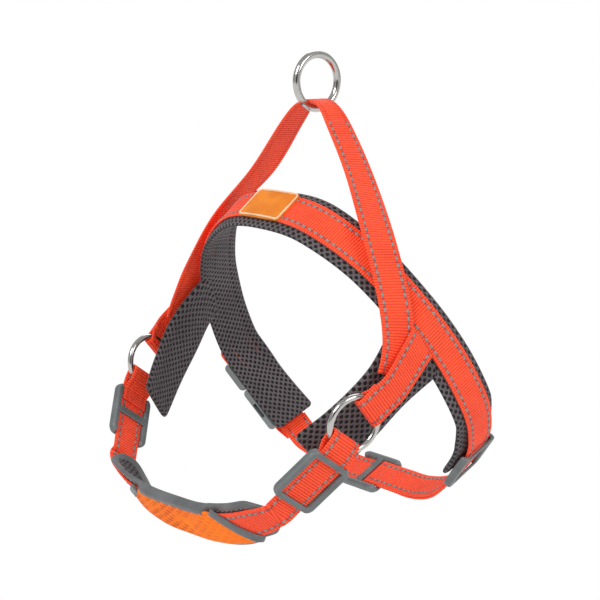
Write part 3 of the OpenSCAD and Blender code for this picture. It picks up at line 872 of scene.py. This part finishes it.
def mesh_pad(name, line, width, thickness, node, lift=0.0, corner=4.0, seams=(ROW_PLACE,), seam_depth=0.9):
    """Mesh pad with sewn channels on its inner face, where the webbing's rows are stitched through."""
    line = resampled(line, 1.1)
    d = lengths_of(line)
    section = pad_section(width, thickness)
    narrow = end_shape(d, d[-1], corner)
    flat = end_shape(d, d[-1], thickness * 0.5)
    a = section[None, :, 0] * (1 - (corner / width * 1.6) * (1 - narrow[:, None]))
    h = section[None, :, 1] * flat[:, None]
    inner = section[None, :, 1] < 0
    for seam in seams:
        channel = np.exp(-((np.abs(a) - seam) / 1.5) ** 2)
        pucker = 1 + 0.25 * np.sin(d[:, None] * 2 * math.pi / THREAD_PITCH)
        h = h + np.where(inner, channel * pucker * seam_depth, 0.0) * flat[:, None]
    swell = 0.18 * np.sin(d / 17.0) + 0.12 * np.sin(d / 7.3 + 1.3)
    h = h + np.where(inner, -1.0, 0.3) * swell[:, None] * flat[:, None]
    rows = (line[:, None, 0] + line[:, None, 1] * a[..., None] + line[:, None, 2] * (h + lift)[..., None])
    across = np.where(section[:, 1] >= 0, section[:, 0], -section[:, 0])
    piece = loft_piece(name, rows, uv_grid(across, d), "harness", [node], pad_material)
    return line


def pad_seam_threads(name, line, lift, offset=ROW_PLACE):
    spots = [spots_along(line, side * offset, lift, 3.6, 6.0) for side in (-1, 1)]
    stitches(name, np.concatenate(spots), SEAM_STITCH, "harness", red_thread_material)


def make_pads():
    places = np.linspace(-SADDLE_PAD_RIGHT, SADDLE_PAD_LEFT, 380)
    step_in = 2.8 * np.clip((np.abs(places) - 5.4) / 1.1, 0, 1)
    line = np.array([shifted(girth_place(s), 0, -x) for s, x in zip(places, step_in)])
    lift = -PAD_FACE - PAD_T / 2
    saddle = mesh_pad("saddle_mesh_pad", line, SADDLE_PAD_W, PAD_T, "saddle_pad", lift)
    pad_seam_threads("saddle_seam_thread", saddle, lift - PAD_T / 2 + 0.9)
    arm = arm_pad_line()
    for side, line in (("left", arm), ("right", mirrored(arm))):
        mesh_pad(f"arm_mesh_pad_{side}", line, ARM_PAD_W, PAD_T, f"arm_pad_{side}", corner=5.0)


# ---- chest pad -----------------------------------------------------------------------------

def cupped(across, share):
    """How far the pad's lower edge curls in, fading out towards the ends of the pad."""
    return -0.09 * np.maximum(across - 10.5, 0) ** 2 * np.clip((1 - share) / 0.25, 0, 1)


def chest_pad_line():
    places = np.linspace(-CHEST_END, CHEST_END, 400)
    return resampled(np.array([chest_place(s) for s in places]), 0.8)


def panel_half(across):
    """Half length of the panel at a place across it, from its top edge to its bottom edge."""
    return PANEL_TOP + (PANEL_BOTTOM - PANEL_TOP) * (across / CHEST_PAD_W + 0.5)


def make_chest_back():
    line = chest_pad_line()
    d = lengths_of(line)
    half = d[-1] / 2
    narrow = end_shape(d, d[-1], CHEST_END_REACH)
    section = pad_section(CHEST_PAD_W, CHEST_BACK_T)
    a = section[None, :, 0] * narrow[:, None]
    h = np.repeat(section[None, :, 1], len(d), 0)
    ripple = 0.22 * np.sin(d * 2 * math.pi / 6.2) * np.exp(-((np.minimum(d, d[-1] - d) - 20) / 22) ** 2)
    h = h + np.where(section[None, :, 1] < 0, ripple[:, None], 0.0)
    h = h + cupped(a, np.abs(d[:, None] / half - 1))
    lift = CHEST_BACK_OUT - CHEST_BACK_T / 2
    rows = line[:, None, 0] + line[:, None, 1] * a[..., None] + line[:, None, 2] * (h + lift)[..., None]
    piece = loft_piece("chest_mesh_back", rows, uv_grid(section[:, 0], d), "harness",
                       ["chest_pad_back"], pad_material)


def make_chest_panel():
    across = np.linspace(-CHEST_PAD_W / 2 + PANEL_INSET, CHEST_PAD_W / 2, 19)
    rows, uv = [], []
    for k in np.linspace(-1, 1, 150):
        line = [chest_place(k * (panel_half(a) - TRIM_HALF)) for a in across]
        crown = 0.55 * (1 - (2 * across / CHEST_PAD_W) ** 4) * (1 - abs(k) ** 10)
        slack = 0.22 * math.sin(k * 9.0) * (1 - (2 * across / CHEST_PAD_W) ** 2)
        curl = cupped(across, abs(k) * panel_half(across) / CHEST_END)
        top = [place(f, a, PANEL_LIFT + PANEL_T / 2 - 0.35 + rise)
               for f, a, rise in zip(line, across, crown + slack + curl)]
        under = [place(f, a, PANEL_LIFT - PANEL_T / 2 + c) for f, a, c in zip(line, across, curl)]
        rows.append(top + under[::-1])
        along = [k * (panel_half(a) - TRIM_HALF) * 30.0 for a in across]
        pairs = list(zip(across, along))
        uv.append(pairs + pairs[::-1])
    loft_piece("chest_panel_cloth", rows, uv, "harness", ["chest_panel"], panel_material)


def tape_section(width, thickness, points=28):
    """Soft rounded-rectangle section, centred: a superellipse."""
    t = np.linspace(0, 2 * math.pi, points, endpoint=False)
    return np.stack([np.sign(np.cos(t)) * np.abs(np.cos(t)) ** 0.62 * width / 2,
                     np.sign(np.sin(t)) * np.abs(np.sin(t)) ** 0.62 * thickness / 2], axis=1)


def make_chest_binding():
    """Tape folded over the pad's edge, all the way round; the back alone beyond the panel's ends."""
    line = chest_pad_line()
    half = lengths_of(line)[-1] / 2
    reach = CHEST_END_REACH
    hw = CHEST_PAD_W / 2
    straight = np.linspace(-(half - reach), half - reach, 150)
    bend = np.linspace(-math.pi / 2, math.pi / 2, 36)[1:-1]
    outline = ([(x, -hw) for x in straight]
               + [(half - reach + reach * math.cos(t), hw * math.sin(t)) for t in bend]
               + [(x, hw) for x in straight[::-1]]
               + [(-(half - reach) - reach * math.cos(t), -hw * math.sin(t)) for t in bend])
    outline = np.array(outline)
    sides = outline_sides(outline)
    unit_length = half / CHEST_END
    covered = [panel_half(a) * unit_length - abs(x) for x, a in outline]
    cover = np.clip((np.array(covered) + 8.0) / 6.0, 0, 1)
    cover = smooth(cover)
    low = CHEST_BACK_OUT - CHEST_BACK_T - 0.45
    high = (CHEST_BACK_OUT + 0.12) * (1 - cover) + (PANEL_LIFT + PANEL_T / 2 + 0.25) * cover
    rows, uv = [], []
    run = np.concatenate([[0], np.cumsum(np.linalg.norm(np.diff(outline, axis=0), axis=1))])
    for (x, a), n2, top, v in zip(outline, sides, high, run):
        f = frames_at(line, x + half)
        direction = unit(np.cross(f[1], f[2])) * n2[0] + unit(f[1]) * n2[1]
        section = tape_section(6.2, top - low)
        middle = place(f, a, (top + low) / 2 + cupped(a, abs(x) / half))
        rows.append([middle + direction * (o - 1.6) + f[2] * h for o, h in section])
        uv.append([(o, v) for o, h in section])
    loft_piece("chest_binding_tape", rows, uv, "harness", ["chest_binding_top", "chest_binding_bottom"],
               tape_material, loop=True)
    spots = []
    for (x, a), n2, top, over in zip(outline[::5], sides[::5], high[::5], cover[::5]):
        if a > 0 and over > 0:
            continue
        f = frames_at(line, x + half)
        along = unit(np.cross(f[1], f[2]))
        direction = along * n2[0] + unit(f[1]) * n2[1]
        spot = place(f, a, top - 0.12 + cupped(a - 3.7, abs(x) / half)) - direction * 3.7
        spots.append([spot, direction, f[2]])
    stitches("chest_binding_thread", np.array(spots), TAPE_STITCH, "harness",
             tack_thread_material)


def make_chest_opening_trims():
    for side, name in ((-1, "left"), (1, "right")):
        # The left end of the pad is at a negative place, because the strap runs from left to right
        rows, uv, spots = [], [], []
        across = np.linspace(-CHEST_PAD_W / 2 + PANEL_INSET, CHEST_PAD_W / 2 - PANEL_INSET, 40)
        for a in across:
            middle = chest_place(side * (panel_half(a) - 0.01))
            nearby = chest_place(side * (panel_half(a + 0.5) - 0.01))
            run = unit(place(nearby, a + 0.5, 0) - place(middle, a, 0))
            sideways = unit(np.cross(run, middle[2])) * side
            section = tape_section(7.4, 2.1)
            centre = place(middle, a, PANEL_LIFT + 0.15 + cupped(a, panel_half(a) / CHEST_END))
            rows.append([centre + sideways * o + middle[2] * h for o, h in section])
            uv.append([(o, a) for o, h in section])
            spots.append([centre + sideways * (-2.6) + middle[2] * 0.98, sideways, middle[2]])
        label = f"chest_opening_tape_{name}"
        loft_piece(label, rows, uv, "harness", [f"chest_opening_trim_{name}"], tape_material)
        stitches(label + "_thread", np.array(spots[2:-2:4]), TAPE_STITCH, "harness",
                 tack_thread_material)


# ---- label ---------------------------------------------------------------------------------

def rounded_outline(length, width, radius, corner_points=8):
    """Points round a rounded rectangle: (along, across)."""
    out = []
    for k, (x, y) in enumerate(((1, 1), (-1, 1), (-1, -1), (1, -1))):
        for t in np.linspace(0, 90, corner_points):
            a = math.radians(t + 90 * k)
            out.append((x * (length / 2 - radius) + radius * math.cos(a),
                        y * (width / 2 - radius) + radius * math.sin(a)))
    return np.array(out)


def densified(outline, spacing):
    """More points along the straight stretches of a closed outline."""
    dense = []
    for p, q in zip(outline, np.roll(outline, -1, 0)):
        n = max(int(np.linalg.norm(q - p) / spacing), 1)
        dense += [p + (q - p) * k / n for k in range(n)]
    return np.array(dense)


def outline_sides(outline):
    """Outward directions round a closed outline that turns anticlockwise."""
    tangent = unit(np.roll(outline, -1, 0) - np.roll(outline, 1, 0))
    return np.stack([tangent[:, 1], -tangent[:, 0]], axis=1)


def on_saddle(along, across, out):
    """A point of the saddle's outer side, along in mm from the top of the back."""
    return place(girth_place(along / GIRTH_STEP_AT_TOP), across, out)


def make_label():
    """A blank soft label: a domed block with a pale rim round its upper edge."""
    outline = rounded_outline(LABEL_L, LABEL_W, 3.2)
    layers = [(1.0, WEB_T / 2 + 0.15), (1.0, 2.2), (0.985, 2.75), (0.95, 3.0), (0.90, 3.02),
              (0.7, 3.08), (0.4, 3.14), (0.12, 3.16)]
    rows = np.array([[on_saddle(x * k, y * k, z) for x, y in outline] for k, z in layers])
    uv = [[(x * k, y * k) for x, y in outline] for k, z in layers]
    loft_piece("label_block", rows, uv, "harness", ["label_patch"], label_material)
    rim = densified(rounded_outline(LABEL_L - 1.6, LABEL_W - 1.6, 2.6, 10), 1.5)
    rows, uv = [], []
    for i, (p, n2) in enumerate(zip(rim, outline_sides(rim))):
        ring = []
        for a in np.linspace(0, 2 * math.pi, 12, endpoint=False):
            q = p + n2 * math.cos(a) * 0.72
            ring.append(on_saddle(q[0], q[1], 2.95 + math.sin(a) * 0.5))
        rows.append(ring)
        uv.append([(i, 0.0)] * 12)
    loft_piece("label_rim", rows, uv, "harness", ["label_border"], rim_material, loop=True)


# ---- metal and plastic ---------------------------------------------------------------------

def ring_piece(name, f, inner, wire, node, weld_angle):
    """Welded wire ring, slightly thicker and flatter at its weld."""
    major = (inner + wire) / 2
    along = np.cross(f[1], f[2])
    rows, uv = [], []
    for t in np.linspace(0, 2 * math.pi, 160, endpoint=False):
        direction = along * math.cos(t) + f[1] * math.sin(t)
        away = (t - weld_angle + math.pi) % (2 * math.pi) - math.pi
        r = wire / 2 * (1 + 0.07 * math.exp(-(away / 0.05) ** 2) - 0.03 * math.exp(-(away / 0.14) ** 2))
        rows.append([f[0] + direction * (major + r * math.cos(a)) + f[2] * r * math.sin(a)
                     for a in np.linspace(0, 2 * math.pi, 28, endpoint=False)])
        uv.append([(k, t * major) for k in range(28)])
    loft_piece(name, rows, uv, node, [node], steel_material, loop=True)


def make_rings():
    centre, inner, wire = LEAD_RING
    upright = np.array([centre, [0.0, 1.0, 0.0], [1.0, 0.0, 0.0]])
    ring_piece("lead_ring_steel", upright, inner, wire, "lead_ring", math.pi * 0.97)
    for side, f in (("left", ring_frame), ("right", ring_frame * FLIP)):
        ring_piece(f"side_ring_steel_{side}", f, SIDE_RING_INNER, SIDE_RING_WIRE, f"side_ring_{side}", 0.0)


def slider_outline():
    """The middle line of a slider's frame, (along, across), and the width of its side rails."""
    rail = (SLIDER_W - 2 * (WEB_W / 2 + 0.7)) / 2
    length = SLIDER_L - SLIDER_END_BAR
    width = SLIDER_W - rail
    return densified(rounded_outline(length, width, 3.4, 10), 1.6), rail


def slider_piece(name, f, body, node):
    """Moulded three-bar slider: deep side rails, shallower end bars and a hidden middle bar."""
    outline, rail = slider_outline()
    along = np.cross(f[1], f[2])
    across = unit(f[1])
    strap_face = WEB_T / 2 + GAP
    rows, uv = [], []
    run = 0.0
    for i, (p, n2) in enumerate(zip(outline, outline_sides(outline))):
        endness = smooth(np.clip((WEB_W / 2 + 1.6 - abs(p[1])) / 1.6, 0, 1))
        low = SLIDER_INNER_Z * (1 - endness) + strap_face * endness
        width = rail * (1 - endness) + SLIDER_END_BAR * endness
        middle = (low + SLIDER_OUTER_Z) / 2
        section = tape_section(width, SLIDER_OUTER_Z - low, 24)
        centre = f[0] + along * p[0] + across * p[1] + f[2] * middle
        sideways = along * n2[0] + across * n2[1]
        rows.append([centre + sideways * o + f[2] * h for o, h in section])
        run += np.linalg.norm(p - outline[i - 1])
        uv.append([(k, run) for k in range(24)])
    loft_piece(name, rows, uv, body, [node], plastic_material, loop=True)
    rows, uv = [], []
    half = WEB_W / 2 + 1.4
    thickness = -strap_face - SLIDER_INNER_Z
    for y in np.linspace(-half, half, 60):
        ridge = 0.12 * math.cos(y * 2 * math.pi / 2.4)
        section = tape_section(SLIDER_MID_BAR + ridge, thickness, 24)
        centre = f[0] + across * y + f[2] * (SLIDER_INNER_Z + thickness / 2)
        rows.append([centre + along * o + f[2] * h for o, h in section])
        uv.append([(k, y) for k in range(24)])
    loft_piece(name + "_middle_bar", rows, uv, body, (), plastic_material)


def make_sliders():
    chest_frame = chest_line(CHEST_SLIDER_PLACE)
    for side, f in (("left", chest_frame), ("right", chest_frame * FLIP)):
        node = f"chest_slider_{side}"
        slider_piece(node + "_moulding", f, node, node)
    slider_piece("girth_slider_moulding", girth_place(GIRTH_SLIDER_PLACE), "harness", "girth_slider")
    belly = girth_place(GIRTH_HALF)
    belly = np.array([[BELLY_SLIDER_X, belly[0][1], belly[0][2]], belly[1], belly[2]])
    slider_piece("belly_slider_moulding", belly, "belly_slider", "belly_slider")


def soften(piece, width, segments=3):
    """Rounds the sharp edges of a moulded node with modifiers, leaving its mesh alone."""
    weld = piece.modifiers.new("weld", "WELD")
    weld.merge_threshold = 0.00002
    bevel = piece.modifiers.new("bevel", "BEVEL")
    bevel.width = width
    bevel.segments = segments
    bevel.limit_method = "ANGLE"
    bevel.angle_limit = math.radians(40)
    bevel.use_clamp_overlap = True
    piece.modifiers.new("normals", "WEIGHTED_NORMAL")
    piece.data.materials.clear()
    piece.data.materials.append(plastic_material)


def make_buckle():
    for node in ("buckle_plug", "buckle_socket"):
        soften(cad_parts[node], 0.0009)
    for node in ("buckle_prong_front", "buckle_prong_rear"):
        soften(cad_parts[node], 0.0004, 2)


# ---- camera, floor and light ---------------------------------------------------------------

def aim(thing, target):
    direction = Vector(target) - thing.location
    thing.rotation_euler = direction.to_track_quat("-Z", "Y").to_euler()


def area_light(name, place_m, target, size, power):
    data = bpy.data.lights.new(name, "AREA")
    data.shape = "RECTANGLE"
    data.size, data.size_y = size
    data.energy = power
    lamp = bpy.data.objects.new(name, data)
    bpy.context.scene.collection.objects.link(lamp)
    lamp.location = place_m
    aim(lamp, target)


def make_camera():
    azimuth, elevation = CAMERA_AZIMUTH, CAMERA_ELEVATION
    target = Vector(to_model(CAMERA_AIM))
    data = bpy.data.cameras.new("camera")
    data.sensor_width = CAMERA_SENSOR
    data.lens = CAMERA_LENS
    camera = bpy.data.objects.new("camera", data)
    bpy.context.scene.collection.objects.link(camera)
    camera.location = target + CAMERA_DISTANCE * Vector((math.cos(elevation) * math.sin(azimuth),
                                                         -math.cos(elevation) * math.cos(azimuth),
                                                         math.sin(elevation)))
    aim(camera, target)
    bpy.context.scene.camera = camera


def plain_surface(name, color):
    s = Shader(name, Specular_IOR_Level=0.0)
    s.color(color)
    s.roughness(0.9)
    return s.material


def glowing_surface(name):
    s = Shader(name, Specular_IOR_Level=0.0, Emission_Color=(1, 1, 1, 1), Emission_Strength=1.0)
    s.color((0, 0, 0, 1))
    return s.material


def stage_plane(name, size, place_m, target, material):
    bpy.ops.mesh.primitive_plane_add(size=1, location=place_m)
    plane = bpy.context.object
    plane.name = name
    plane.scale = (size[0], size[1], 1)
    plane.rotation_euler = (Vector(target) - Vector(place_m)).to_track_quat("Z", "Y").to_euler()
    plane.data.materials.append(material)
    return plane


def make_stage():
    middle = (0, 0, 0.16)
    white = glowing_surface("studio_white")
    stage_plane("floor", (14, 14), (0, 0, -0.0004), (0, 0, 1), white)
    sweep = stage_plane("sweep", (16, 8), (-4.5, 3.8, 2.0), (0, 0, 2.0), white)
    sweep.visible_diffuse = False
    sweep.visible_glossy = False
    world = bpy.data.worlds.new("studio")
    world.use_nodes = True
    world.node_tree.nodes["Background"].inputs["Color"].default_value = (1, 1, 1, 1)
    world.node_tree.nodes["Background"].inputs["Strength"].default_value = 0.5
    bpy.context.scene.world = world
    area_light("key", (0.3, -1.5, 1.5), middle, (0.9, 0.7), 24.0)
    area_light("side", (1.7, 0.3, 1.2), middle, (0.8, 0.8), 13.0)
    area_light("back", (-1.3, 1.3, 1.5), middle, (1.0, 1.0), 9.0)
    dark = plain_surface("dark_card", (0.01, 0.01, 0.01, 1))
    for name, size, where in (("card_camera", (1.5, 0.9), (1.45, -1.2, 0.55)),
                              ("card_left", (0.3, 1.4), (-0.9, -1.4, 0.4)),
                              ("card_right", (0.3, 1.4), (1.6, 0.7, 0.4))):
        card = stage_plane(name, size, where, middle, dark)
        card.visible_camera = False
        card.visible_shadow = False
        card.visible_diffuse = False
    scene = bpy.context.scene
    scene.view_settings.view_transform = "Standard"
    scene.view_settings.look = "None"
    scene.view_settings.exposure = 0.0


make_camera()
make_stage()
make_webbing()
make_pads()
make_chest_back()
make_chest_panel()
make_chest_binding()
make_chest_opening_trims()
make_label()
make_rings()
make_sliders()
make_buckle()
